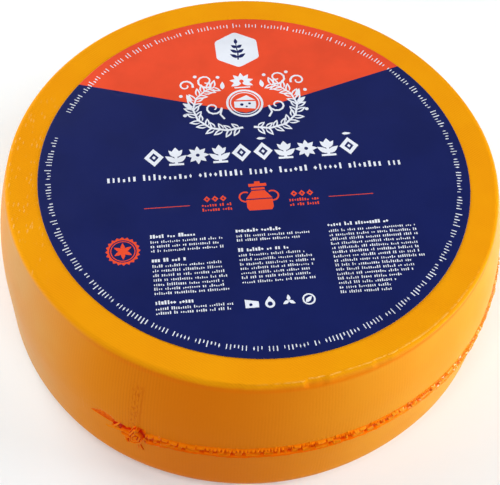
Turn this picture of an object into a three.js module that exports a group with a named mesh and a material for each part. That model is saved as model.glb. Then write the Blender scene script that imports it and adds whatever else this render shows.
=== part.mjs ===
// A wheel of semi-hard cheese in its yellow coating, with a round printed label stuck to its upper face.
// The wheel was pressed in a round mould. The mould's floor shaped its upper face and its flared wall the
// side down to the bead, which is curd squeezed out between that wall and the lid. The bead wanders up and
// down, fades out on the far side, and sags at one place into a knot where the press cloth bunched up.
// Millimetres, +Z up, the base on z = 0 and the axis on the Z axis. The label's print reads upright from
// the -Y side. Angles are in degrees about the axis, counterclockwise from +X.
import * as THREE from "three";

// ---- Driving dimensions -------------------------------------------------------------------------------
const wheelHeight = 105.5;
const seamRadius = 139.6; // the side beside the bead, where the wheel is widest
const rimDraw = 7.8; // how far the side leans in from there to the rim's rounding
const footDraw = 0.4; // and down to the foot's rounding
const rimRounding = 3.5;
const footRounding = 17;

const beadHeight = 51.7; // of the bead's middle above the base, on average
const beadWave = { size: 2.3, count: 3, peak: -71 }; // its wander: rise, waves in a turn, angle of one crest
const beadWidth = 6.5;
const beadProud = 1.8; // how far the bead stands out of the side
const beadShoulder = 1; // height over which each edge of the bead rises
const beadStart = -123; // the bead fades in here and runs counterclockwise
const beadArc = 275;
const beadFade = 12; // length of each faded end

const knot = { angle: -111.5, spread: 5, proud: 1.2, sag: 2 }; // spread is half the arc it covers
const wanderReach = 30; // above and below the bead's middle, where the side no longer follows its wander

const labelMargin = 12.3; // bare upper face between the label and the rim's rounding
const labelThickness = 0.2;
const labelOffset = { x: 1.6, y: 0.4 }; // stuck on a little off the middle
const glueThickness = 0.1;

const turnSegments = 120;
const roundingSteps = 4;
const wallSteps = 3; // rows of the side above the bead, and again below it

const rimRadius = seamRadius - rimDraw;
const footRadius = seamRadius - footDraw;
const labelRadius = rimRadius - rimRounding - labelMargin;

// ---- The wheel ----------------------------------------------------------------------------------------
// A row of the section: its radius and height, and the share of the bead's height that it carries.
const row = (radius, height, bead = 0) => ({ radius, height, bead });

// Rows round a quarter circle, from one angle of it to the other.
function rounding(centreRadius, centreHeight, size, fromDegrees, toDegrees) {
  return Array.from({ length: roundingSteps + 1 }, (_, step) => {
    const angle = THREE.MathUtils.degToRad(THREE.MathUtils.lerp(fromDegrees, toDegrees, step / roundingSteps));
    return row(centreRadius + size * Math.cos(angle), centreHeight + size * Math.sin(angle));
  });
}

// Rows between two rows of the side, leaving both out. A bow of 1 is upright at the first and leans over
// more and more towards the second, and a bow of 0 is straight.
function wall(from, to, bow) {
  return Array.from({ length: wallSteps }, (_, step) => {
    const share = (step + 1) / (wallSteps + 1);
    const inward = THREE.MathUtils.lerp(share, share * share, bow);
    return row(
      THREE.MathUtils.lerp(from.radius, to.radius, inward),
      THREE.MathUtils.lerp(from.height, to.height, share),
    );
  });
}

// The half section, from the middle of the base out, up the side and in to the middle of the upper face.
function section() {
  const foot = rounding(footRadius - footRounding, footRounding, footRounding, -90, 0);
  const rim = rounding(rimRadius - rimRounding, wheelHeight - rimRounding, rimRounding, 0, 90);
  const beadBottom = beadHeight - beadWidth / 2;
  const beadTop = beadHeight + beadWidth / 2;
  const belowBead = row(seamRadius, beadBottom - beadShoulder);
  const aboveBead = row(seamRadius, beadTop + beadShoulder);
  const bead = [row(seamRadius, beadBottom, 1), row(seamRadius, beadHeight, 1), row(seamRadius, beadTop, 1)];
  return [
    row(0, 0),
    ...foot,
    ...wall(foot.at(-1), belowBead, 0),
    belowBead,
    ...bead,
    aboveBead,
    ...wall(aboveBead, rim[0], 1),
    ...rim,
    row(0, wheelHeight),
  ];
}

// How far counterclockwise an angle lies from a start, from 0 to 360.
const turnFrom = (start, angle) => THREE.MathUtils.euclideanModulo(angle - start, 360);

// 1 at the middle of the knot, falling away on both sides of it.
function knotShare(angle) {
  const away = turnFrom(knot.angle - 180, angle) - 180;
  return Math.exp(-((away / knot.spread) ** 2));
}

// The share of its full height that the bead has at an angle: 1 along its arc, and 0 past its faded ends.
function beadShare(angle) {
  const along = turnFrom(beadStart, angle);
  const fadeIn = THREE.MathUtils.smoothstep(along, 0, beadFade);
  const fadeOut = THREE.MathUtils.smoothstep(beadArc - along, 0, beadFade);
  return fadeIn * fadeOut;
}

// How far the bead's middle lies above its average height at an angle.
function wander(angle) {
  const phase = THREE.MathUtils.degToRad(beadWave.count * (angle - beadWave.peak));
  return beadWave.size * Math.cos(phase) - knot.sag * knotShare(angle);
}

// The share of that wander that the side follows at a height.
const wanderShare = (height) => THREE.MathUtils.clamp(1 - Math.abs(height - beadHeight) / wanderReach, 0, 1);

// The section turned about the axis, with the bead raised along its arc and led up and down.
function wheelGeometry() {
  const rows = section();
  const geometry = new THREE.LatheGeometry(rows.map((r) => new THREE.Vector2(r.radius, r.height)), turnSegments);
  geometry.rotateX(Math.PI / 2);
  const position = geometry.getAttribute("position");
  for (let turn = 0; turn <= turnSegments; turn++) {
    const angle = -90 + (360 / turnSegments) * (turn % turnSegments);
    const direction = THREE.MathUtils.degToRad(angle);
    const raised = beadProud * beadShare(angle) + knot.proud * knotShare(angle);
    rows.forEach(({ radius, height, bead }, index) => {
      const out = radius + raised * bead;
      const z = height + wander(angle) * wanderShare(height);
      position.setXYZ(turn * rows.length + index, out * Math.cos(direction), out * Math.sin(direction), z);
    });
  }
  geometry.computeVertexNormals();
  return geometry;
}

const wheel = new THREE.Mesh(
  wheelGeometry(),
  new THREE.MeshStandardMaterial({ color: 0xf09c12, roughness: 0.35, metalness: 0 }),
);
wheel.name = "cheese_wheel";

// ---- The label ----------------------------------------------------------------------------------------
const label = new THREE.Mesh(
  new THREE.CylinderGeometry(labelRadius, labelRadius, labelThickness, turnSegments),
  new THREE.MeshStandardMaterial({ color: 0x16225c, roughness: 0.4, metalness: 0 }),
);
label.name = "label";
label.rotation.x = Math.PI / 2;
label.position.set(labelOffset.x, labelOffset.y, wheelHeight + glueThickness + labelThickness / 2);

const labelledWheel = new THREE.Group();
labelledWheel.add(wheel, label);

export default labelledWheel;
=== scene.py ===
"""A wheel of semi-hard cheese in its yellow coating, with a round printed label on its upper face.

Everything is in metres, in the frame of the CAD model: the base stands on z = 0 and the axis is the Z axis.
Angles round the axis are in degrees, counterclockwise from +X, so the front of the wheel is at -90.
"""

import math

import bpy
import numpy as np
from mathutils import Matrix, Vector
from mathutils.geometry import delaunay_2d_cdt


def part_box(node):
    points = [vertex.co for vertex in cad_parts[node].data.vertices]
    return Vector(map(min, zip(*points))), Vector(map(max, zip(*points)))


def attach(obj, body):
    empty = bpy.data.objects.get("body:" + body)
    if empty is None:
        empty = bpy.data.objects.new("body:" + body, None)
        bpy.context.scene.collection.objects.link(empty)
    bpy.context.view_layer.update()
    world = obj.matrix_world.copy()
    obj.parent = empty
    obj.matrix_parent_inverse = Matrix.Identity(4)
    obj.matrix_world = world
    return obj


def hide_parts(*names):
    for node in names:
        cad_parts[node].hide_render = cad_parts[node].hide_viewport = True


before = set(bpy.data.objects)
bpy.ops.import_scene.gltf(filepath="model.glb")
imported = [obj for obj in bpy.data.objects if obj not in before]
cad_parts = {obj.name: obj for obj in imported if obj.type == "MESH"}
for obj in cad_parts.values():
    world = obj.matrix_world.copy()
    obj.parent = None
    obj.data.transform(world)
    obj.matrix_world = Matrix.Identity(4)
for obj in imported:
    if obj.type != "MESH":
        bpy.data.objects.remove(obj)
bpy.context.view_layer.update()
mm = 0.001
wheel_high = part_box("cheese_wheel")[1]
label_low, label_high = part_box("label")


# ---- Camera -------------------------------------------------------------------------------------------
# A short telephoto view of the wheel from the front and well above, held a little askew and aimed at the
# upper face, in front of its middle.
view_distance = 620.3 * mm
view_elevation = math.radians(50.9)
view_roll = math.radians(4.08)
view_aim = Vector((1.4 * mm, -47.0 * mm, wheel_high.z))
sensor_width, focal_length = 36, 82.8


def aim_camera():
    """Places the camera above the front of the wheel and returns it."""
    camera = bpy.data.objects.new("camera", bpy.data.cameras.new("camera"))
    bpy.context.collection.objects.link(camera)
    back = Vector((0, -math.cos(view_elevation), math.sin(view_elevation)))
    stand = Vector((0, 0, wheel_high.z)) + back * view_distance
    ahead = (view_aim - stand).normalized()
    right = ahead.cross(Vector((0, 0, 1))).normalized()
    up = right.cross(ahead)
    turned_right = right * math.cos(view_roll) + up * math.sin(view_roll)
    turned_up = up * math.cos(view_roll) - right * math.sin(view_roll)
    axes = Matrix((turned_right, turned_up, -ahead)).transposed()
    camera.matrix_world = Matrix.Translation(stand) @ axes.to_4x4()
    camera.data.sensor_width = sensor_width
    camera.data.lens = focal_length
    camera.data.clip_start = 10 * mm
    return camera


bpy.context.scene.camera = aim_camera()


# ---- The wheel ----------------------------------------------------------------------------------------
# One pressed wheel of semi-hard cheese, dipped in a yellow-orange film that has set to a soft gloss. Its
# face and side keep the fine ribs of the press cloth, and it bulges out of round at the back right. The
# rim is rounded, but a lip trimmed off along the front left a flat strip there, under a rough crest.
bead_proud = 1.8 * mm
seam_radius = wheel_high.y - bead_proud
rim_draw, foot_draw = 7.8 * mm, 0.4 * mm
rim_rounding, foot_rounding = 3.5 * mm, 17 * mm
bulge_size, bulge_angle = 3.3 * mm, 60
slump_size, slump_angle = 1.1 * mm, -115
side_swell_size, face_swell_size = 0.25 * mm, 0.22 * mm
crest_height, crest_place, crest_width = 0.2 * mm, 0.93, 0.06
bead_height, bead_rise = 51.7 * mm, 2 * mm
bead_wave, bead_wave_peak = 2.3 * mm, -71
bead_start, bead_end = -123, 152
knot_angle, knot_sag, knot_spread = -111.5, 2 * mm, 5
trench_depth, trench_reach, trench_bank = 1.9 * mm, 3.1 * mm, 0.6 * mm
trench_rows = np.arange(-5, 8.01, 0.5) * mm
slit_shift = 3 * mm
wheel_column = 0.5
base_rings = (60, 112)
face_rings = (125.5, 124, 122, 120, 118, 116, 114, 110, 90, 60, 30)


def smooth(value, low, high):
    """0 below low, 1 above high and an easy slope between them."""
    share = np.clip((value - low) / (high - low), 0, 1)
    return share * share * (3 - 2 * share)


def stretch(angle, start, full, wane, end):
    """1 between the angles full and wane, with easy slopes to 0 at start and at end."""
    return smooth(angle, start, full) * smooth(-angle, -end, -wane)


def hump(value, middle, width):
    """1 at the middle, down to almost 0 at twice the width from it."""
    return np.exp(-(((value - middle) / width) ** 2))


def waves(seed, count, *axes):
    """A soft random field, mostly from -1 to 1: sines along coordinates, each with a shortest wavelength."""
    random = np.random.default_rng(seed)
    total = 0
    for _ in range(count):
        phase = random.uniform(0, 2 * np.pi)
        for coordinate, wavelength in axes:
            phase = phase + coordinate * 2 * np.pi * random.uniform(-1, 1) / wavelength
        total = total + np.sin(phase)
    return total / math.sqrt(2 * count)


def bead_line(angle):
    """The height of the bead's middle at an angle: it waves, rises at the right and sags under the knot."""
    wander = bead_wave * np.cos(np.radians(3 * (angle - bead_wave_peak)))
    rise = bead_rise * stretch(angle, -40, 0, 45, 80)
    return bead_height + wander + rise - knot_sag * hump(angle, knot_angle, knot_spread)


def side_radius(angle, z):
    """The side's radius between the foot's and the rim's rounding, without the bead."""
    above = np.clip((z - bead_height) / (wheel_high.z - rim_rounding - bead_height), 0, 1)
    below = np.clip((bead_height - z) / (bead_height - foot_rounding), 0, 1)
    radius = seam_radius - rim_draw * above**2 - foot_draw * below
    slump = slump_size * np.cos(np.radians(3 * (angle - slump_angle))) * (1 - above)
    turn = np.radians(angle)
    bulge = bulge_size * (0.5 + 0.5 * np.cos(turn - math.radians(bulge_angle))) ** 1.7
    x, y = np.cos(turn) * seam_radius, np.sin(turn) * seam_radius
    return radius + slump + bulge + side_swell_size * waves(4, 7, (x, 90 * mm), (y, 90 * mm), (z, 80 * mm))


def face_swell(x, y):
    """How far the upper face stands above or below flat."""
    return face_swell_size * waves(9, 7, (x, 70 * mm), (y, 70 * mm))


def trimmed_lip(angle):
    """1 along the front stretch of rim that was trimmed flat."""
    return stretch(angle, -97, -91, -52, -44)


def rim_size(angle):
    """The rim's rounding at an angle: full behind, tighter at the right, with a step in the trimmed lip."""
    tight = 1 - 0.45 * stretch(angle, -66, -46, -25, 10)
    step = 1 - 0.3 * stretch(angle, -100, -92, -75.8, -75.4)
    ragged = 1 + 0.12 * trimmed_lip(angle) * waves(14, 9, (angle, 2.2))
    return rim_rounding * tight * step * ragged


def rim_rows(angle, edge):
    """The rim's rows from the side's upper end to the edge of the upper face."""
    size, lip = rim_size(angle), trimmed_lip(angle)
    turn = np.radians(angle)
    flat = 0.75 * lip
    crest = crest_height * (lip + 0.7 * stretch(angle, -60, -45, -30, -12))
    rough = 0.55 + 0.45 * waves(15, 12, (angle, 1.3))
    for share in np.linspace(0, 1, 15):
        bend = share * math.pi / 2
        out = (1 - math.cos(bend)) * (1 - flat) + share * flat
        up = math.sin(bend) * (1 - flat) + share * flat
        radius = edge - size * out
        level = wheel_high.z - size * (1 - up) + crest * rough * hump(share, crest_place, crest_width)
        yield radius, level + up**2 * face_swell(radius * np.cos(turn), radius * np.sin(turn))


def side_rows(angle, low, high, count):
    """Rows up the plain side between two heights, without the first and the last of the count."""
    for share in np.linspace(0, 1, count)[1:-1]:
        z = low + (high - low) * share
        yield side_radius(angle, z), z


def wheel_rows(angle):
    """The wheel's section at every angle: (radius, height) rows, from the base's middle out and up."""
    level = 0 * angle
    rows = [(ring * mm + level, level) for ring in base_rings]
    foot = side_radius(angle, foot_rounding + level)
    for bend in np.radians(np.linspace(-90, 0, 10)):
        out, up = 1 - math.cos(bend), 1 + math.sin(bend)
        rows.append((foot - foot_rounding * out, foot_rounding * up + level))

    line = bead_line(angle)
    rows += side_rows(angle, foot_rounding, line + trench_rows[0], 9)
    trench_middle = slit_shift * smooth(-angle, 116, 117.5)
    trench_share = stretch(angle, bead_start, bead_start + 1, bead_end - 12, bead_end)
    for offset in trench_rows:
        away = np.abs(offset - trench_middle)
        trench = trench_depth * (1 - smooth(away, trench_reach, trench_reach + trench_bank))
        rows.append((side_radius(angle, line + offset) - trench * trench_share, line + offset))

    rim_foot = wheel_high.z - rim_size(angle)
    rows += side_rows(angle, line + trench_rows[-1], rim_foot, 20)
    edge = side_radius(angle, rim_foot)
    rows += rim_rows(angle, edge)
    turn = np.radians(angle)
    face_edge = edge - rim_size(angle) - 0.8 * mm
    for out in (face_edge, *(ring * mm + level for ring in face_rings)):
        rows.append((out, wheel_high.z + face_swell(out * np.cos(turn), out * np.sin(turn))))
    return rows


def around_axis(radius, angle, z):
    """Points at these radii, angles and heights."""
    turn = np.radians(angle)
    return np.stack([radius * np.cos(turn), radius * np.sin(turn), z], axis=-1)


def mesh_object(name, points, faces):
    """A new smooth-shaded object of this mesh."""
    mesh = bpy.data.meshes.new(name)
    mesh.from_pydata([tuple(p) for p in points], [], [tuple(f) for f in faces])
    mesh.update()
    mesh.shade_smooth()
    made = bpy.data.objects.new(name, mesh)
    bpy.context.collection.objects.link(made)
    return made


def wheel_mesh():
    """The whole wheel as one closed mesh of upright columns, closed by a point below and one above."""
    angle = np.arange(-180, 180, wheel_column)
    rows = wheel_rows(angle)
    radius = np.array([r for r, _ in rows])
    z = np.array([h for _, h in rows])
    count, columns = radius.shape
    crown_height = wheel_high.z + face_swell(0, 0)
    points = [*around_axis(radius, angle, z).reshape(-1, 3), (0, 0, 0), (0, 0, crown_height)]
    base, crown = count * columns, count * columns + 1
    last = (count - 1) * columns
    faces = []
    for column in range(columns):
        following = (column + 1) % columns
        faces.append((base, following, column))
        faces.append((crown, last + column, last + following))
        for low in range(0, last, columns):
            high = low + columns
            faces.append((low + column, low + following, high + following, high + column))
    return mesh_object("cheese", points, faces)


class Value:
    """A shader socket's value, whose arithmetic adds Math nodes."""

    def __init__(self, finish, socket):
        self.finish, self.socket = finish, socket

    def math(self, operation, *values):
        return self.finish.node("ShaderNodeMath", {"operation": operation}, dict(enumerate(values)))

    def __add__(self, other):
        return self.math("ADD", self, other)

    def __sub__(self, other):
        return self.math("SUBTRACT", self, other)

    def __rsub__(self, other):
        return self.math("SUBTRACT", other, self)

    def __mul__(self, other):
        return self.math("MULTIPLY", self, other)

    def __abs__(self):
        return self.math("ABSOLUTE", self)

    __radd__, __rmul__ = __add__, __mul__


class Finish:
    """A material, built up from nodes that end in one Principled shader."""

    def __init__(self, name):
        self.material = bpy.data.materials.new(name)
        self.material.use_nodes = True
        self.tree = self.material.node_tree
        self.tree.nodes.clear()
        self.place = self.node("ShaderNodeTexCoord", output="Object")

    def node(self, kind, settings=None, sockets=None, output=0):
        """Adds a node with these settings, and these values or links on its sockets. Returns one output."""
        made = self.tree.nodes.new(kind)
        for name, setting in (settings or {}).items():
            if name == "stops":
                ramp = made.color_ramp.elements
                while len(ramp) < len(setting):
                    ramp.new(0)
                for element, (position, colour) in zip(ramp, setting):
                    element.position, element.color = position, (*colour, 1)
            else:
                setattr(made, name, setting)
        for name, value in (sockets or {}).items():
            if isinstance(value, Value):
                self.tree.links.new(value.socket, made.inputs[name])
            else:
                made.inputs[name].default_value = value
        return Value(self, made.outputs[output]) if made.outputs else None

    def coordinates(self):
        """The place on the object along each axis, in metres."""
        return [self.node("ShaderNodeSeparateXYZ", None, {"Vector": self.place}, axis) for axis in "XYZ"]

    def vector(self, x, y):
        """A place for a texture, from two coordinates."""
        return self.node("ShaderNodeCombineXYZ", None, {"X": x, "Y": y, "Z": 0.0})

    def mix(self, share, first, second):
        """A colour between two colours."""
        first, second = ((*c, 1) if isinstance(c, tuple) else c for c in (first, second))
        return self.node("ShaderNodeMix", {"data_type": "RGBA"}, {0: share, 6: first, 7: second}, 2)

    def noise(self, size, detail=2, where=None):
        """Soft noise from 0 to 1 whose blotches are about this size."""
        sockets = {"Vector": where or self.place, "Scale": 1 / size, "Detail": detail}
        return self.node("ShaderNodeTexNoise", None, sockets, "Fac")

    def ramp(self, value, low, high):
        """0 where the value is below low, 1 above high."""
        sockets = {"Value": value, "From Min": low, "From Max": high}
        return self.node("ShaderNodeMapRange", {"interpolation_type": "SMOOTHSTEP"}, sockets)

    def bell(self, value, middle, reach):
        """1 where the value is at the middle, 0 beyond its reach."""
        return self.ramp(reach - abs(value - middle), 0, reach)

    def ribs(self, along, pitch):
        """Even ribs from -1 to 1 across a coordinate."""
        phase = along * (2 * math.pi / pitch)
        return phase.math("SINE", phase)

    def painted(self, name):
        """A value kept on the mesh's vertices, or 0 where it has none."""
        return self.node("ShaderNodeAttribute", {"attribute_name": name}, None, "Fac")

    def surface(self, relief, **sockets):
        """Ends the material in a Principled shader over a relief in millimetres, and returns it."""
        bump = self.node("ShaderNodeBump", None, {"Height": relief, "Distance": mm, "Strength": 1.0})
        named = {name.replace("_", " "): value for name, value in sockets.items()}
        shader = self.node("ShaderNodeBsdfPrincipled", None, {**named, "Normal": bump})
        self.node("ShaderNodeOutputMaterial", None, {"Surface": shader})
        return self.material


lit_face_yellow = (0.84, 0.335, 0.004)
side_amber = (0.77, 0.285, 0.012)
shaded_front_orange = (0.735, 0.185, 0.004)
lit_right_yellow = (0.73, 0.35, 0.04)
right_end_reflection_tan = (0.75, 0.43, 0.15)
left_end_reflection_tan = (0.63, 0.33, 0.115)
cloud_orange = (0.74, 0.2, 0.003)
rim_orange = (0.78, 0.17, 0.001)
groove_brown = (0.35, 0.08, 0.001)
pit_red = (0.62, 0.11, 0.001)
speck_cream = (1.0, 0.60, 0.2)
crest_highlight_cream = (1.0, 0.55, 0.12)
pool_stops = [(0, (0.92, 0.25, 0.003)), (0.5, (0.80, 0.12, 0.0)), (1, (0.60, 0.012, 0.0005))]
side_rib, face_rib = 1.7 * mm, 1.15 * mm
face_rib_lean = math.radians(30)
speck_spacing = 1.7 * mm


def film_colour(film, turn, z, face):
    """The film with painted light: yellow lit face; orange side, shaded in front, lit at right, tan
    reflections at ends.
    """

    def near(middle, reach):
        return film.bell(turn, math.radians(middle), math.radians(reach))

    def past(low, high):
        return film.ramp(turn, math.radians(low), math.radians(high))

    # Painted shade: the side turns a deeper orange towards the front.
    side = film.mix(near(-98, 45), side_amber, shaded_front_orange)
    # Painted light: the side turns a lighter yellow towards the right, with a little painted haze.
    side = film.mix(past(-75, -20), side, lit_right_yellow)
    # Painted reflections: a pale tan haze at the right and left ends of the side.
    side = film.mix(near(8, 38), side, right_end_reflection_tan)
    side = film.mix(near(-152, 34), side, left_end_reflection_tan)
    # Painted light: the upper face is a lighter yellow than the side, as if lit from above.
    colour = film.mix(face, side, lit_face_yellow)
    cloud = film.ramp(film.noise(35 * mm), 0.3, 0.7)
    colour = film.mix(cloud * 0.2, colour, cloud_orange)
    # A deeper orange band just under the rim, fading out from the front towards the left.
    rim_band = film.bell(z, wheel_high.z - 3.4 * mm, 2.2 * mm) * past(-135, -105)
    return film.mix(rim_band * 0.6, colour, rim_orange)


def cloth_ribs(film, x, y, z, turn, face):
    """The ribs of the press cloth, from -1 to 1: slanting across the face, upright on the side."""
    worn = film.ramp(film.noise(18 * mm), 0.35, 0.65)
    scuffed = film.bell(turn, math.radians(knot_angle), math.radians(9)) * film.ramp(z, 46 * mm, 60 * mm)
    upright = film.ribs(turn, side_rib / seam_radius) * (worn * 0.35 + 0.15 + scuffed)
    across = x * math.sin(face_rib_lean) + y * math.cos(face_rib_lean)
    woven = film.ribs(across, face_rib) * (worn * 0.7 + 0.3)
    return woven * face + upright * (1 - face)


def pitted_strip(film, turn, z):
    """The leaning strip over the knot, where the film is finely pitted, with a crack down its middle."""
    leaning = turn - math.radians(-111) - (z - 75 * mm) * 0.35
    tall = film.ramp(z, 50 * mm, 56 * mm) * film.ramp(wheel_high.z - z, 11 * mm, 18 * mm)
    patch = film.bell(leaning, 0, math.radians(2.3)) * tall
    wander = (film.noise(3 * mm) - 0.5) * 0.012
    crack = film.bell(leaning - wander, math.radians(1.2), math.radians(0.3)) * tall
    upright = film.vector(turn * seam_radius, z * 0.28)
    pits = film.ramp(film.noise(0.8 * mm, 1, upright), 0.5, 0.62) * patch
    return pits.math("MAXIMUM", pits, crack * 0.7)


def face_specks(film, x, y, face):
    """Pale grains in the film along the left of the upper face."""
    left = film.ramp(x * -1.0, 95 * mm, 118 * mm) * film.ramp(y * -1.0, -60 * mm, 0)
    sockets = {"Vector": film.vector(x, y * 0.3), "Scale": 1 / speck_spacing}
    grain = film.node("ShaderNodeTexVoronoi", None, sockets, "Distance")
    return film.ramp(0.34 - grain, 0, 0.2) * film.ramp(film.noise(5 * mm), 0.38, 0.6) * face * left


def coating():
    """The set film: ribbed, pitted and specked, red-orange where it pooled, with a pale painted highlight
    along the rim's crest.
    """
    film = Finish("coating")
    x, y, z = film.coordinates()
    turn = y.math("ARCTAN2", y, x)
    face = film.ramp(z, wheel_high.z - 2.4 * mm, wheel_high.z - 0.5 * mm)
    ribs = cloth_ribs(film, x, y, z, turn, face)
    pits = pitted_strip(film, turn, z)
    specks = face_specks(film, x, y, face)
    # The crest's painted highlight, broken up by noise.
    dry = film.painted("dry") * film.ramp(film.noise(2.2 * mm), 0.35, 0.6)
    pool = film.painted("pool")

    colour = film_colour(film, turn, z, face)
    colour = film.mix(film.ramp(ribs, -1.6, 0.4), film.mix(0.12, colour, groove_brown), colour)
    colour = film.mix(pits * 0.7, colour, pit_red)
    colour = film.mix(specks * 0.38, colour, speck_cream)
    # Painted highlight: pale cream along the rim's crest.
    colour = film.mix(dry * 0.7, colour, crest_highlight_cream)
    pooled = film.node("ShaderNodeValToRGB", {"stops": pool_stops}, {"Fac": pool}, "Color")
    colour = film.mix(film.ramp(pool, 0, 0.25), colour, pooled)

    shiny = film.ramp(turn, math.radians(-70), math.radians(-45))
    shiny = shiny.math("MAXIMUM", shiny, film.bell(turn, math.radians(-105), math.radians(5)) * 0.8)
    return film.surface(
        ribs * 0.02 + film.noise(1.6 * mm, 3) * 0.07 + specks * 0.1 - pits * 0.1,
        Base_Color=colour,
        Roughness=film.noise(9 * mm, 3) * 0.14 + 0.36 - pool * 0.18,
        IOR=1.06,
        Specular_Tint=(1.0, 0.5, 0.05, 1.0),
        Coat_Weight=film.ramp(pool, 0, 0.05) * film.ramp(film.noise(1.1 * mm), 0.54, 0.6) * shiny,
        Coat_Roughness=0.05,
        Sheen_Weight=0.05,
        Sheen_Roughness=0.25,
    )


def paint(piece, name, values):
    """Keeps a value on each vertex of a mesh, where the coating's shader reads it."""
    kept = piece.data.attributes.new(name, "FLOAT", "POINT")
    kept.data.foreach_set("value", np.asarray(values, np.float32))


def painted_crest_highlight(points):
    """1 along the rough crest of the rim, where a pale highlight is painted."""
    angle = np.degrees(np.arctan2(points[:, 1], points[:, 0]))
    edge = side_radius(angle, wheel_high.z - rim_size(angle)) - rim_size(angle) * 0.9
    on_crest = smooth(0.35 * mm - np.abs(np.hypot(points[:, 0], points[:, 1]) - edge), 0, 0.3 * mm)
    return on_crest * stretch(angle, -90, -72, -36, -18) * (points[:, 2] > wheel_high.z - 2 * mm)


film = coating()
cheese = wheel_mesh()
# Paints a pale highlight along the rim's crest.
paint(cheese, "dry", painted_crest_highlight(np.array([v.co for v in cheese.data.vertices])))
cheese.data.materials.append(film)
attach(cheese, "root")
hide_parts("cheese_wheel")


# ---- The bead -----------------------------------------------------------------------------------------
# Curd pressed out between the mould and its lid and folded against the side: a notched cord above, flat
# links standing prouder below it, and a drip of pooled coating underneath. At the left it closes to a slit
# with a ragged upper lip. It is modelled as a strip that lies in a trench of the wheel's side.
strip_rows = np.concatenate([np.arange(-7.8, -4.2, 0.8), np.arange(-4.1, 6.5, 0.3), [7.1, 7.8]]) * mm
strip_reach = 7.8 * mm
strip_apron = 2.5 * mm
strip_back = 2.5 * mm
strip_column = 0.13
cord_place, cord_half, cord_proud = 2.15 * mm, 1.15 * mm, 0.7 * mm
link_place, link_half, link_proud = -0.7 * mm, 1.15 * mm, 1.7 * mm
drip_place, drip_half, drip_proud = -2.7 * mm, 0.6 * mm, 1.85 * mm
groove_place, groove_width, groove_depth = 3.55 * mm, 0.28 * mm, 0.4 * mm
bed_low, bed_depth = -3.3 * mm, 0.9 * mm
slit_start, slit_length, slit_height = -122.2, 2.6, 6.2 * mm
knot_sunk = 1.5 * mm


def along_side(angle):
    """Distance round the side, in metres, at an angle."""
    return np.radians(angle) * seam_radius


def spots(seed, distance, spacing):
    """Places from the first of the distances to the last, at spacings drawn in turn from a random source."""
    random = np.random.default_rng(seed)
    place, last = distance.min(), distance.max()
    found = []
    while place < last:
        found.append(place)
        place += spacing(random, place)
    return np.array(found)


def drawn(random, low, high, number):
    """A random value for each number, the same wherever the number is the same."""
    return random.uniform(low, high, 5000)[number]


def nearest(places, distance):
    """How far each distance lies from the nearest place, and that place's number."""
    number = np.clip(np.searchsorted(places, distance), 1, len(places) - 1)
    number = number - (distance - places[number - 1] < places[number] - distance)
    return distance - places[number], number


def cord_notches(distance):
    """1 in the notches between the cord's teeth: runs of even teeth with plain stretches between."""
    plain = 0

    def spacing(random, place):
        nonlocal plain
        plain -= 1
        if plain < -random.integers(6, 16):
            plain = random.integers(0, 3)
        if plain > 0:
            return random.uniform(3, 6) * mm
        pitch = 1.0 * mm
        if place < along_side(-96):
            pitch = 4.5 * mm
        elif place < along_side(-80):
            pitch = 1.85 * mm
        return pitch * random.uniform(0.8, 1.2)

    away, number = nearest(spots(31, distance, spacing), distance)
    return drawn(np.random.default_rng(32), 0.6, 1, number) * hump(away, 0, 0.4 * mm)


def links(distance):
    """How far inside its link each distance lies from the nearer end, and the link's lift and shift."""
    ends = spots(41, distance, lambda random, _: random.choice([3, 4, 5.5, 7, 9]) * mm)
    number = np.clip(np.searchsorted(ends, distance), 1, len(ends) - 1)
    random = np.random.default_rng(42)
    gap = drawn(random, 0.5, 1.2, number) * mm
    lift = drawn(random, 0.75, 1.1, number)
    shift = drawn(random, -0.25, 0.35, number) * mm
    inside = np.minimum(distance - ends[number - 1], ends[number] - distance) - gap
    return inside, lift, shift


def barbs(distance, v):
    """Short spurs that stand across the cord's upper edge, 6 to 15 mm apart."""
    away, _ = nearest(spots(56, distance, lambda random, _: random.uniform(6, 15) * mm), distance)
    across = smooth(4.6 * mm - v, 0, 1 * mm) * (v > 1.8 * mm)
    return 0.9 * mm * np.clip(1 - np.abs(away) / (0.6 * mm), 0, 1) * across


def ridge(v, place, half):
    """A rounded ridge's height, from 0 to 1, at offsets from the bead's middle."""
    return np.sqrt(np.clip(1 - ((v - place) / half) ** 2, 0, 1))


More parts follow.
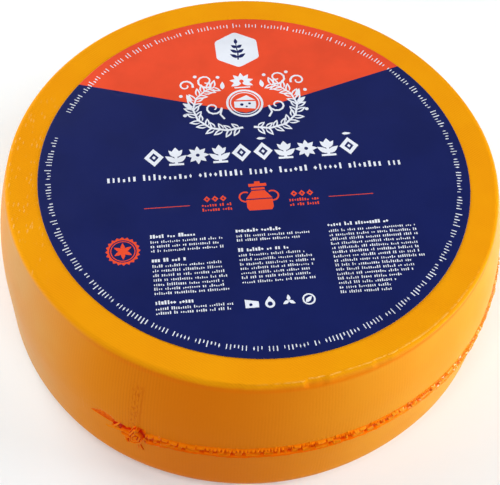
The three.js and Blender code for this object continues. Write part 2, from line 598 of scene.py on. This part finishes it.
def bead_surface(angle, offset):
    """The bead's height over the side and its pooled share, at angles and at offsets above its middle."""
    distance = along_side(angle)
    stray = 0.3 * mm * waves(51, 6, (distance, 14 * mm))
    v = (offset - stray) / (1 + 0.3 * hump(angle, -107, 4))

    notch = cord_notches(distance)
    cord = ridge(v, cord_place, cord_half) * (1 - 0.75 * notch)
    cord = cord * (cord_proud + bed_depth) * (1 + 0.15 * waves(53, 5, (distance, 9 * mm)))
    inside, lift, shift = links(distance)
    edge = np.minimum(inside, link_half - np.abs(v - link_place - shift))
    hollow = smooth(edge, 0.5 * mm, 1 * mm)
    link = (smooth(edge, 0, 0.4 * mm) - 0.35 * hollow) * lift * (link_proud + bed_depth)
    drip = ridge(v, drip_place, drip_half) * (drip_proud + bed_depth)
    drip = drip * (1 + 0.08 * waves(54, 5, (distance, 6 * mm)))
    bed = -bed_depth * smooth(v - bed_low, 0, 0.4 * mm) * smooth(cord_place - v, 0, 0.4 * mm)

    shadowed_groove = hump(v, groove_place, groove_width)
    barb = barbs(distance, v)
    height = np.maximum(bed + np.maximum.reduce([cord, link, drip]) - groove_depth * shadowed_groove, barb)
    height = height * (1 + 0.35 * smooth(angle, -25, 0) * (height > 0))
    rough = waves(52, 9, (distance, 2.2 * mm), (offset, 1.6 * mm))
    height = height + 0.13 * mm * rough * (height > -0.5 * mm)

    low = (1 - smooth(height, -0.3 * mm, 0.6 * mm)) * (1 - 0.35 * smooth(angle, -60, -25))
    below_cord = smooth(cord_place - v, -0.2 * mm, 0.4 * mm) * smooth(3.4 * mm + v, 0, 0.3 * mm)
    on_cord = smooth(cord_half - np.abs(v - cord_place), 0, 0.4 * mm)
    on_drip = smooth(drip_half - np.abs(v - drip_place), 0, 0.3 * mm)
    on_bead = smooth(3.6 * mm - np.abs(v), 0, 0.5 * mm)
    pool = [
        low * below_cord,
        0.85 * notch * on_cord,
        (0.5 - 0.36 * smooth(angle, -85, -45)) * on_drip,
        0.2 * hollow,
        # Painted shadow: a dark line along the groove above the cord.
        0.35 * shadowed_groove,
        0.2 * (barb > 0.1 * mm) * (v > cord_place),
        (0.19 - 0.14 * smooth(angle, -85, -50)) * on_bead,
    ]
    return height, np.maximum.reduce(pool)


def slit_surface(angle, offset):
    """The slit's height over the side and its pooled share: deepest above, under a ragged upper lip."""
    distance = along_side(angle)
    open_share = np.clip((angle - slit_start) / slit_length, 0, 1)
    teeth = spots(61, distance, lambda random, _: random.uniform(0.7, 1.3) * mm)
    away, tooth = nearest(teeth, distance - 0.35 * offset)
    length = drawn(np.random.default_rng(62), 0.2, 1.5, tooth) * mm
    ragged = 1.6 * length * np.clip(1 - np.abs(away) / (0.45 * mm), 0, 1) * open_share**0.5
    upper = slit_height * open_share**0.85 - ragged
    inside = smooth(np.minimum(upper - offset, offset), -0.1 * mm, 0.25 * mm) * (open_share > 0)
    share = np.clip(offset / (slit_height * np.maximum(open_share, 0.05) ** 0.85), 0, 1)
    rough = waves(63, 8, (distance, 2 * mm), (offset, 1.2 * mm))
    lip = 0.2 * mm * hump(offset, -0.35 * mm, 0.4 * mm) * smooth(open_share, 0, 0.15)
    height = lip - (0.2 + 0.8 * share + 0.12 * rough) * mm * inside
    return height, np.clip(inside * (0.75 - 0.6 * share + 0.2 * rough), 0, 1)


def knot_hollow(angle):
    """1 where the knot lies over the bead's strip, which sinks under it."""
    return stretch(angle, -116.6, -115.8, -109.0, -108.4)


def strip_surface(angle, offset):
    """The whole strip's height and pooled share: the slit, the bead, and the apron that meets the side."""
    height, pool = bead_surface(angle, offset)
    slit, slit_pool = slit_surface(angle, offset)
    beaded = stretch(angle, -110.2, -109.4, bead_end - 10, bead_end)
    slitted = (1 - beaded) * (angle < -100)
    apron = smooth(np.abs(offset), strip_reach - strip_apron, strip_reach)
    height = (height * beaded + slit * slitted) * (1 - smooth(apron, 0.2, 1)) + 0.01 * mm - 0.12 * mm * apron
    sunk = knot_hollow(angle)
    return height * (1 - sunk) - knot_sunk * sunk, (pool * beaded + slit_pool * slitted) * (1 - apron)


def bead_mesh():
    """The strip as one closed mesh: its surface row by row, and a plain back inside the wheel."""
    angle = np.arange(bead_start - 1.5, bead_end, strip_column)
    a, v = np.meshgrid(angle, strip_rows)
    z = bead_line(a) + v
    height, pool = strip_surface(a, v)
    back_z = np.stack([z[-1], z[0]])
    radius = np.vstack([side_radius(a, z) + height, side_radius(angle, back_z) - strip_back])
    pool = np.vstack([pool, np.zeros_like(back_z)])
    points = around_axis(radius, angle, np.vstack([z, back_z])).reshape(-1, 3)
    count, columns = radius.shape
    faces = []
    for row in range(count):
        near, far = row * columns, (row + 1) % count * columns
        faces += [(near + k, near + k + 1, far + k + 1, far + k) for k in range(columns - 1)]
    faces.append([row * columns for row in range(count)])
    faces.append([row * columns + columns - 1 for row in range(count)][::-1])
    made = mesh_object("bead", points, faces)
    paint(made, "pool", pool.reshape(-1))
    return made


bead = bead_mesh()
bead.data.materials.append(film)
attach(bead, "root")
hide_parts("cheese_wheel")


# ---- The knot -----------------------------------------------------------------------------------------
# Where the press cloth bunched up, the curd squeezed through its folds and set in a crumpled whorl, with a
# tail of folds up to the slit, red rifts where the coating pooled between them, and a few torn spurs.
knot_columns = np.arange(-21, 10.5, 0.16) * mm
knot_rows = np.arange(-17.5, 9, 0.16) * mm
knot_buried = 2.3
whorl = (3.2, -2.0)
knot_folds = [  # path, half width, height and pooled share of each fold, in millimetres from the whorl
    ([(-31, 9.4), (-23, 7), (-14, 4)], 1.0, 0.5, 0.0),
    ([(-14, 6.7), (-9, 4.7), (-3.5, 1.6)], 1.6, 1.5, 0.2),
    ([(-13.5, 3.1), (-10, 0.3), (-6, -1.3)], 1.5, 1.3, 0.2),
    ([(-21.5, 9.5), (-18.5, 10.7), (-15.5, 12.5)], 0.6, 1.1, 0.0),
    ([(-13, 8.7), (-7, 6.7), (-1.5, 3.6)], 0.9, 1.2, 0.6),
    ([(0.8, 7.6), (0.2, 4.5), (-1.2, 2.2)], 1.1, 2.5, 0.05),
    ([(-11.5, 0.1), (-11, -2.8), (-8.8, -5.8)], 0.7, 1.2, 0.1),
    ([(2.8, -9.5), (3.8, -12.5), (4.8, -15)], 0.8, 0.6, 0.45),
    ([(0.2, -10), (0.6, -13.5)], 0.5, 0.4, 0.35),
    ([(-24, 10.5), (-20, 8.2)], 0.6, 0.5, 0.3),
]
knot_rifts = [  # path, half width and depth of each rift
    ([(4.0, 4), (6.2, -1.5), (8.0, -7)], 2.0, 1.0),
    ([(-21, 11.5), (-16, 10), (-11.5, 7.4)], 1.9, 0.5),
    ([(-20.5, 6.6), (-16.5, 6.6), (-13.6, 2.0)], 1.9, 0.6),
    ([(-8.8, -2.2), (-8.9, -6.5)], 1.2, 0.6),
    ([(-5.2, 1.2), (-6.8, -2.6)], 1.1, 0.5),
]


def along_fold(path, p, q):
    """How far each place lies from a path, and how far along it from 0 to 1."""
    away, share = np.full(p.shape, np.inf), np.zeros(p.shape)
    for k, ((p0, q0), (p1, q1)) in enumerate(zip(path, path[1:])):
        dp, dq = p1 - p0, q1 - q0
        part = np.clip(((p - p0) * dp + (q - q0) * dq) / (dp * dp + dq * dq), 0, 1)
        reach = np.hypot(p - p0 - part * dp, q - q0 - part * dq)
        share = np.where(reach < away, (k + part) / (len(path) - 1), share)
        away = np.minimum(away, reach)
    return away, share


def knot_surface(u, v):
    """The knot's height over the side and its pooled share, at distances right of and above its middle."""
    p = 1.64 * u / mm - whorl[0] + 0.5 * waves(71, 6, (u, 4 * mm), (v, 5 * mm))
    q = (0.855 * v - 0.8 * u) / mm - whorl[1] + 0.5 * waves(72, 6, (u, 4 * mm), (v, 5 * mm))
    covered = knot_hollow(knot_angle + np.degrees((u + 0.25 * mm * np.sign(u)) / seam_radius))
    cover = covered * smooth(4.6 * mm - np.abs(v), 0, 0.4 * mm)
    height, pool = 0.05 - knot_buried * (1 - cover), 0.1 * cover

    reach, bend = np.hypot(p, q), np.arctan2(q, p)
    dome = smooth(8.4 + 0.5 * np.sin(3 * bend + 1) - reach, 0, 1.2)
    fold = np.abs(np.sin(np.pi * (reach / 2.6 + 0.25 * bend / np.pi + 0.1)))
    mound = dome * (0.6 + 0.9 * (1 - reach / 9) + 1.1 * fold**0.8)
    height = np.maximum(height, mound - knot_buried * (1 - dome))
    pool = np.maximum(pool, dome * (0.08 + 1.2 * (1 - fold) ** 1.3))

    for path, half, depth in knot_rifts:
        away, _ = along_fold(path, p, q)
        inside = smooth(half - away, -0.1, 0.6)
        height = height * (1 - inside) + (0.12 - depth * covered * (np.abs(v) < 4 * mm)) * inside
        pool = np.maximum(pool * (1 - inside), inside)
    for path, half, tall, shade in knot_folds:
        away, share = along_fold(path, p, q)
        size = half * (0.35 + 0.65 * np.sin(np.pi * np.clip(share, 0.12, 0.88)))
        inside = np.clip(1 - (away / size) ** 2, 0, 1)
        raised = np.where(inside > 0, tall * np.sqrt(inside), -1)
        pool = np.where(raised > height, shade + (0.15 + shade) * (1 - inside), pool)
        height = np.maximum(height, raised)
    height = height + 0.1 * waves(75, 8, (u, 1.2 * mm), (v, 1.2 * mm)) * (height > 0.2)
    border = smooth(knot_columns[-1] - u, 0, 1 * mm) * smooth(u - knot_columns[0], 0, 1 * mm)
    return (height * border - knot_buried * (1 - border)) * mm, np.clip(pool, 0, 1)


def knot_mesh():
    """The knot as one closed mesh, with a plain back inside the wheel."""
    u, v = np.meshgrid(knot_columns, knot_rows)
    height, pool = knot_surface(u, v)
    angle = knot_angle + np.degrees(u / seam_radius)
    z = bead_line(knot_angle) + v
    side = side_radius(angle, z)
    rows, columns = u.shape
    index = np.arange(rows * columns).reshape(rows, columns)
    corners = [index[:-1, :-1], index[:-1, 1:], index[1:, 1:], index[1:, :-1]]
    faces = np.stack(corners, axis=-1).reshape(-1, 4).tolist()
    edge = np.concatenate([index[0, :], index[1:, -1], index[-1, -2::-1], index[-2:0:-1, 0]]).tolist()
    back = list(range(rows * columns, rows * columns + len(edge)))
    walls = zip(edge[1:] + edge[:1], edge, back, back[1:] + back[:1])
    front_points = around_axis(side + height, angle, z).reshape(-1, 3)
    back_points = around_axis(side - strip_back, angle, z).reshape(-1, 3)[edge]
    made = mesh_object("knot", [*front_points, *back_points], [*faces, *walls, back[::-1]])
    paint(made, "pool", np.concatenate([pool.reshape(-1), np.zeros(len(edge))]))
    return made


knot = knot_mesh()
knot.data.materials.append(film)
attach(knot, "root")
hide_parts("cheese_wheel")


# ---- The label ----------------------------------------------------------------------------------------
# A disc of coated paper, printed in navy and orange-red with its white left bare, and glued on a little
# crooked. Its print is ornament only. The inks are regions of one mesh, cut along outlines that are in
# millimetres from the label's middle, with +Y towards the top of the print.
label_radius = (label_high.x - label_low.x) / 2 / mm
label_middle = (label_low + label_high) / 2
label_turn = math.radians(9.76)
label_lattice = 5
red_point, red_slope = 41.7, math.tan(math.radians(17.5))
badge_height, badge_reach, badge_corner = 91.1, 11.2, 2.6
frieze_low, frieze_high, frieze_pitch = 7.1, 19.5, 11.9
edge_ring, edge_ring_start, edge_marks = 110.4, 153, 350
stamp_x, stamp_y, stamp_scallops = -73.4, -46.8, 40
signs_height = -83.9
shapes = []


def put(ink, *outlines):
    """Prints outlines one over the other in an ink. In a tuple, those after the first are cut out of it."""
    for outline in outlines:
        parts = outline if isinstance(outline, tuple) else (outline,)
        layer = len(shapes)
        for index, part in enumerate(parts):
            shapes.append((part, ink if index == 0 else None, layer))


def disc(x, y, radius, sides=24):
    turns = np.arange(sides) * 2 * math.pi / sides
    return [(x + radius * math.cos(turn), y + radius * math.sin(turn)) for turn in turns]


def ring(x, y, radius, width):
    return disc(x, y, radius, 36), disc(x, y, radius - width, 36)


def turned(outline, x, y, degrees):
    """An outline turned about its own origin, then set down at a point."""
    c, s = math.cos(math.radians(degrees)), math.sin(math.radians(degrees))
    return [(x + px * c - py * s, y + px * s + py * c) for px, py in outline]


def block(x, y, width, height):
    w, h = width / 2, height / 2
    return [(x - w, y - h), (x + w, y - h), (x + w, y + h), (x - w, y + h)]


def lozenge(x, y, width, height):
    w, h = width / 2, height / 2
    return [(x - w, y), (x, y - h), (x + w, y), (x, y + h)]


def leaf(x, y, length, width, degrees):
    """A pointed leaf that grows from a point in a direction."""
    steps = np.linspace(0, 1, 6)
    lower = [(length * t, -width / 2 * math.sin(math.pi * t**0.8)) for t in steps]
    upper = [(length * t, width / 2 * math.sin(math.pi * t**0.8)) for t in steps[-2:0:-1]]
    return turned(lower + upper, x, y, degrees)


def stroke(path, width, end_width=None):
    """A band along a path of points, from one width to another."""
    path = np.array(path, float)
    along = np.gradient(path, axis=0)
    side = np.stack([-along[:, 1], along[:, 0]], axis=1) / np.linalg.norm(along, axis=1)[:, None]
    half = np.linspace(width, width if end_width is None else end_width, len(path))[:, None] / 2
    return [tuple(p) for p in np.concatenate([path - side * half, (path + side * half)[::-1]])]


def curl(x, y, radius, start, sweep, shrink=0.25):
    """Points on a spiral that winds in about a point."""
    turns = np.linspace(0, 1, 14)
    reach = radius * (1 - (1 - shrink) * turns)
    bend = np.radians(start + sweep * turns)
    return list(zip(x + reach * np.cos(bend), y + reach * np.sin(bend)))


def mirrored(outline):
    return [(-x, y) for x, y in outline][::-1]


def print_fields():
    """The navy ground, and the orange-red field whose lower edge comes to a point in the middle."""
    # The second disc keeps the soft shading of the cut edge off the rest of the sheet.
    put("navy", disc(0, 0, label_radius, 180), disc(0, 0, label_radius - 0.4, 180))
    reach = 1.3 * label_radius
    end = red_point + red_slope * reach
    put("red", [(0, red_point), (reach, end), (reach, reach), (-reach, reach), (-reach, end)])


def around(points):
    """The convex outline round some points."""
    points = sorted(set((round(x, 4), round(y, 4)) for x, y in points))

    def half(run):
        hull = []
        for p in run:
            while len(hull) > 1 and (
                (hull[-1][0] - hull[-2][0]) * (p[1] - hull[-2][1])
                <= (hull[-1][1] - hull[-2][1]) * (p[0] - hull[-2][0])
            ):
                hull.pop()
            hull.append(p)
        return hull[:-1]

    return half(points) + half(points[::-1])


def print_badge():
    """A white badge with soft corners, and a leafy sprig in navy on it."""
    corners = [turned([(badge_reach, 0)], 0, badge_height, 60 * k + 30)[0] for k in range(6)]
    put("white", around([point for x, y in corners for point in disc(x, y, badge_corner, 12)]))
    put("navy", stroke([(0, 83), (0.4, 88), (0, 93), (0, 97)], 0.9, 0.5))
    for height, spread in ((84.5, 5.6), (88.5, 5), (92.5, 4)):
        put("navy", leaf(0.2, height, spread, 2.4, 35), leaf(0.2, height, spread, 2.4, 145))
    put("navy", leaf(0, 95.5, 4.6, 2.2, 90))


def print_emblem():
    """A medallion with a cut wheel of cheese, and a flower over it."""
    put("white", ring(0, 49, 10.5, 1.3), ring(0, 49, 8.4, 0.6))
    put("white", [(-6, 46), (5.5, 44.5), (6.3, 47.5), (6.3, 50.2), (-6, 50.6)])
    put("white", [(-5.2, 51.6), (6, 51.2), (1.5, 55)])
    put("navy", disc(-1.8, 48, 1, 10), disc(2.6, 48.6, 0.8, 10), disc(0.8, 46.4, 0.6, 10))
    put("white", *(leaf(0, 65.5, 7, 3.2, 90 + 52 * (k - 3) / 1.35) for k in range(7)))
    put("red", disc(0, 66, 1.3, 12))
    put("white", block(0, 61.2, 9, 0.9))


def mirrored_parts(outline):
    """The mirror image of an outline, or of a tuple of outlines."""
    return tuple(map(mirrored, outline)) if isinstance(outline, tuple) else mirrored(outline)


def print_branches():
    """A scrolling branch of outlined leaves at either side of the medallion."""
    stem = [(3, 31), (12, 29.5), (21, 32), (27.5, 38.5), (29.5, 46.5), (27, 54.5), (21.5, 60), (16, 62.5)]
    branch = [stroke(stem, 1.5, 0.8)]
    for (px, py), (x, y) in zip(stem, stem[1:]):
        heading = math.degrees(math.atan2(y - py, x - px))
        for share in (0.25, 0.75):
            bx, by = px + (x - px) * share, py + (y - py) * share
            branch.append((leaf(bx, by, 6.6, 3.1, heading - 48), leaf(bx, by, 5, 1.3, heading - 48)))
            branch.append((leaf(bx, by, 5.6, 2.8, heading + 50), leaf(bx, by, 4.2, 1.1, heading + 50)))
    for x, y, radius, start, sweep in (
        (20.5, 67.5, 5.4, -120, 420),
        (32.2, 64.5, 4.4, 200, -400),
        (18.2, 46.5, 5, 180, 420),
    ):
        branch.append(stroke(curl(x, y, radius, start, sweep), 1.3, 0.8))
    branch.append(stroke([(12.5, 38), (14.5, 41.5), (13.4, 45.5)], 1.1))
    branch += [leaf(29.5, 47, 7, 3, 40), leaf(30, 52, 6.4, 2.8, 70), leaf(11.5, 60.5, 6, 2.6, 95)]
    branch += [disc(x, y, 1.1, 10) for x, y in ((13.3, 70), (26.3, 71.2), (35.4, 56.8), (34.3, 42.2))]
    put("white", *branch, *map(mirrored_parts, branch))


def print_frieze():
    """The title's place: ten bold motifs in a row."""
    middle = (frieze_low + frieze_high) / 2
    for k in range(10):
        x = (k - 4.5) * frieze_pitch
        if k % 5 in (0, 4):
            put("white", (lozenge(x, middle, 10.6, 12.4), lozenge(x, middle, 5.2, 6.4)))
            put("white", lozenge(x, middle, 2, 2.6))
        elif k % 5 == 2:
            put("white", *(leaf(x, middle, 6.2, 3, 45 * petal) for petal in range(8)))
            put("navy", disc(x, middle, 1.1, 12))
        else:
            put("white", block(x, middle - 1.4, 1.7, 9.6), block(x, frieze_low + 0.7, 8, 1.4))
            for turn in (38, 142):
                put("white", leaf(x, frieze_low + 2.2, 7.4, 3.4, turn))
            put("white", leaf(x, middle + 0.3, 6, 4, 90))
            for turn in (52, 128):
                put("white", leaf(x, middle - 0.4, 6.2, 2.8, turn))
        if k in (5, 9):
            put("white", leaf(x - 2.6, 22.4, 5.2, 1.8, 0))


def marks(random, count, pitch, height, weight):
    """Small upright marks in groups, as in a line of ornament: their places along it and their shapes."""
    place, group = 0.0, random.integers(2, 9)
    while place < count * pitch:
        if group == 0:
            place, group = place + pitch * 0.9, random.integers(2, 11)
            continue
        kind = random.integers(0, 5)
        wide = weight * random.uniform(0.8, 1.25)
        tall = height * (1.0, 1.0, 0.62, 1.28, 0.9)[kind]
        drop = height * (0, 0, -0.19, 0.14, 0)[kind]
        yield place, block(0, drop, wide, tall) if kind < 4 else lozenge(0, 0, wide * 1.5, tall)
        place, group = place + pitch, group - 1


def print_line(random, left, right, y, height, pitch, weight, ink="white"):
    """A line of small marks from left to right."""
    for place, mark in marks(random, (right - left) / pitch, pitch, height, weight):
        put(ink, turned(mark, left + place + pitch / 2, y, 0))


def print_small_text():
    """Three columns of fine marks, the lines under the title and the ring round the edge."""
    random = np.random.default_rng(12)
    print_line(random, -80, 80, -0.6, 3.1, 2.75, 1.05)
    first_lines = (42.6, 45.4, 48.2, 57.6, 60.4, 63.2, 66, 68.8, 71.4, 74, 83, 85.6)
    second_lines = (42.6, 45.2, 54.6, 57.4, 60.2, 62.8, 65.6, 68.3, 71.1)
    third_lines = [43.1 + 2.735 * k for k in range(15)]
    for left, right, heads, lines in (
        (-59.4, -20.9, (39.2, 54.1, 79.6), first_lines),
        (-15.1, 23.9, (39.2, 51.4), second_lines),
        (33.2, 80.7, (39.2,), third_lines),
    ):
        for down in heads:
            end = left + (right - left) * random.uniform(0.45, 0.9)
            print_line(random, left, end, -down, 1.75, 1.5, 0.95)
        for down in lines:
            inside_edge = math.sqrt((label_radius - 14) ** 2 - down**2)
            end = min(right, inside_edge) - random.uniform(0, 6)
            print_line(random, left, end, -down, 1.3, 1.12, 0.52)
    for place, mark in marks(random, edge_marks, 1.0, 2.8, 0.5):
        turn = math.radians(edge_ring_start - place)
        upright = edge_ring_start - 90 - place
        put("white", turned(mark, edge_ring * math.cos(turn), edge_ring * math.sin(turn), upright))


def print_jar():
    """The orange-red milk jar between two rules, with a row of lozenges and two short lines at each side."""
    put("red", block(-49, -20.6, 24, 0.4), block(49, -20.6, 24, 0.4))
    right = [(6, -26.4), (7, -24.5), (7, -18.5), (3.6, -13.6), (3.6, -11.4)]
    put("red", right + mirrored(right))
    put("red", block(0, -9.6, 9.6, 1.9), block(0, -8, 3, 1.6))
    put("navy", block(0, -19, 14.2, 0.7), block(0, -13.1, 7.4, 0.6))
    put("red", stroke(curl(-7.2, -17.2, 3.2, 60, 220, shrink=1.0), 0.9))
    put("red", stroke(curl(7.2, -17.2, 3.2, 120, -220, shrink=1.0), 0.9))
    random = np.random.default_rng(5)
    for middle in (-23.4, 23.0):
        for k in (-1, 0, 1):
            x = middle + 4.3 * k
            put("red", (lozenge(x, -17.1, 3.6, 4), lozenge(x, -17.1, 1.3, 1.5)))
        for down in (21.3, 24.3):
            print_line(random, middle - 7.5, middle + 7.5, -down, 1.5, 1.35, 0.75, "red")


def print_stamp():
    """The orange-red notched ring round a flower, left of the columns."""
    scallops = []
    for k in range(stamp_scallops):
        reach = 8.4 + 0.55 * math.cos(math.pi * k)
        scallops += turned([(reach, 0)], stamp_x, stamp_y, 360 * k / stamp_scallops)
    put("red", (scallops, disc(stamp_x, stamp_y, 7, 36)), ring(stamp_x, stamp_y, 6.4, 0.5))
    put("red", *(leaf(stamp_x, stamp_y, 5.2, 2.2, 60 * k + 30) for k in range(6)))


def print_signs():
    """The row of small white signs: a wedge with a hole, a drop, a three-leaf mark and a leaf in a ring."""
    y = signs_height
    wedge = [(-15, y - 2.4), (-8.2, y - 2.4), (-8.2, y + 1), (-15, y + 2.6)]
    put("white", (wedge, disc(-12.2, y - 0.6, 0.9, 10)))
    drop = around(disc(-2.6, y - 0.8, 2.5, 20) + [(-2.6, y + 3.6)])
    put("white", (drop, disc(-2.6, y - 0.9, 1.3, 12)))
    put("white", *(leaf(6.9, y, 3.6, 1.9, 90 + 120 * side) for side in range(3)))
    put("white", ring(17, y, 3.3, 0.8), leaf(15.3, y - 1.7, 4.8, 2.2, 45))


def paper_height(x, y):
    """How far the label's lower side stands above the flat upper face of the wheel."""
    edge = smooth(np.hypot(x, y), 0.7 * label_radius * mm, label_radius * mm)
    wrinkle = waves(21, 6, (x, 24 * mm), (y, 32 * mm)) + waves(22, 5, (x, 50 * mm), (y, 50 * mm))
    return face_swell(x, y) + 0.12 * mm + 0.03 * mm * (1 + 0.5 * edge) * (wrinkle + 1)


def cut_cells(inks):
    """Cuts the label's disc along every outline, and returns its points, its cells and their inks."""
    points, faces = [], []
    for outline, _, _ in shapes:
        twice_area = sum(a[0] * b[1] - b[0] * a[1] for a, b in zip(outline, outline[1:] + outline[:1]))
        run = outline if twice_area > 0 else outline[::-1]
        faces.append(list(range(len(points), len(points) + len(run))))
        points += [Vector(p) for p in run]
    steps = np.arange(-label_radius, label_radius, label_lattice)
    inner = label_radius - label_lattice / 2
    points += [Vector((x, y)) for x in steps for y in steps if math.hypot(x, y) < inner]
    sheet, _, cells, _, _, sources = delaunay_2d_cdt(points, [], faces, 1, 1e-4, True)
    kept, wear = [], []
    for cell, source in zip(cells, sources):
        if 0 not in source:
            continue
        laid = []
        for index in sorted(source):
            _, ink, layer = shapes[index]
            laid = [(i, l) for i, l in laid if l != layer] if ink is None else laid + [(ink, layer)]
        kept.append(list(cell))
        wear.append(inks.index(laid[-1][0]))
    used = sorted({i for cell in kept for i in cell})
    renumber = {old: new for new, old in enumerate(used)}
    flat = np.array([sheet[i][:] for i in used]) * mm
    return flat, [[renumber[i] for i in cell] for cell in kept], wear


def label_mesh(inks):
    """The label as one closed sheet, turned into place and laid on the wheel, every cell in its ink."""
    flat, faces, wear = cut_cells(inks)
    c, s = math.cos(label_turn), math.sin(label_turn)
    x = label_middle.x + flat[:, 0] * c - flat[:, 1] * s
    y = label_middle.y + flat[:, 0] * s + flat[:, 1] * c
    under = wheel_high.z + paper_height(x, y)
    thickness = label_high.z - label_low.z
    top = np.stack([x, y, under + thickness], axis=1)
    bottom = np.stack([x, y, under], axis=1)
    count = len(flat)
    rim = [i for i in range(count) if math.hypot(*flat[i]) > (label_radius - 0.01) * mm]
    rim.sort(key=lambda i: math.atan2(flat[i][1], flat[i][0]))
    faces += [[i + count for i in cell[::-1]] for cell in faces]
    faces += [[i, i + count, after + count, after] for i, after in zip(rim, rim[1:] + rim[:1])]
    made = mesh_object("label_sheet", [*top, *bottom], faces)
    wear += [0] * (len(faces) - len(wear))  # the back and the cut edge take the first ink
    made.data.polygons.foreach_set("material_index", wear)
    return made


def printed(name, colour):
    """A printed colour on coated paper, with faint mottling and the paper's own tooth."""
    sheet = Finish(name)
    cloud = sheet.ramp(sheet.noise(25 * mm, 3), 0.3, 0.75)
    darker = tuple(part * 0.86 for part in colour)
    return sheet.surface(
        sheet.noise(0.9 * mm, 2) * 0.015,
        Base_Color=sheet.mix(cloud, colour, darker),
        Roughness=sheet.noise(6 * mm, 3) * 0.12 + 0.34,
        IOR=1.22,
    )


print_fields()
print_badge()
print_emblem()
print_branches()
print_frieze()
print_small_text()
print_jar()
print_stamp()
print_signs()
inks = {
    "navy": printed("navy_ink", (0.007, 0.013, 0.10)),
    "red": printed("orange_red_ink", (0.82, 0.075, 0.025)),
    "white": printed("bare_paper", (0.80, 0.84, 0.92)),
}
label = label_mesh(list(inks))
for finish in inks.values():
    label.data.materials.append(finish)
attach(label, "root")
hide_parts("label")


# ---- Studio -------------------------------------------------------------------------------------------
# A plain pale floor and five soft boxes: one over the front, one low down at either side, one behind and one
# behind at the left. The world around is black.
floor_reach = 6
floor_colour = (0.87, 0.92, 0.945, 1)
wheel_middle = (0, 0, 0.05)


def plain_floor():
    """A wide pale floor at the height of the wheel's base."""
    corners = [(x * floor_reach, y * floor_reach, 0) for x, y in ((-1, -1), (1, -1), (1, 1), (-1, 1))]
    floor = mesh_object("floor", corners, [(0, 1, 2, 3)])
    floor.data.materials.append(Finish("floor_paint").surface(0.0, Base_Color=floor_colour, Roughness=0.9))


def soft_box(name, place, width, depth, power):
    """A rectangular lamp that faces the middle of the wheel."""
    light = bpy.data.lights.new(name, "AREA")
    light.shape, light.size, light.size_y, light.energy = "RECTANGLE", width, depth, power
    made = bpy.data.objects.new(name, light)
    bpy.context.collection.objects.link(made)
    made.location = place
    made.rotation_mode = "QUATERNION"
    made.rotation_quaternion = (Vector(place) - Vector(wheel_middle)).to_track_quat("Z", "Y")


plain_floor()
soft_box("over_box", (0, -0.7, 1.2), 0.9, 0.6, 10.0)
soft_box("left_box", (-1.1, 0, 0.35), 0.8, 0.5, 6.1)
soft_box("right_box", (1.1, 0, 0.35), 0.8, 0.5, 15)
soft_box("behind_left_box", (-0.9, 0.8, 0.6), 0.8, 0.6, 10.9)
soft_box("behind_box", (0, 1.2, 0.9), 1.2, 0.6, 2.2)
world = bpy.data.worlds.new("studio")
bpy.context.scene.world = world
world.use_nodes = True
world.node_tree.nodes["Background"].inputs["Strength"].default_value = 0.0
bpy.context.scene.view_settings.view_transform = "Standard"
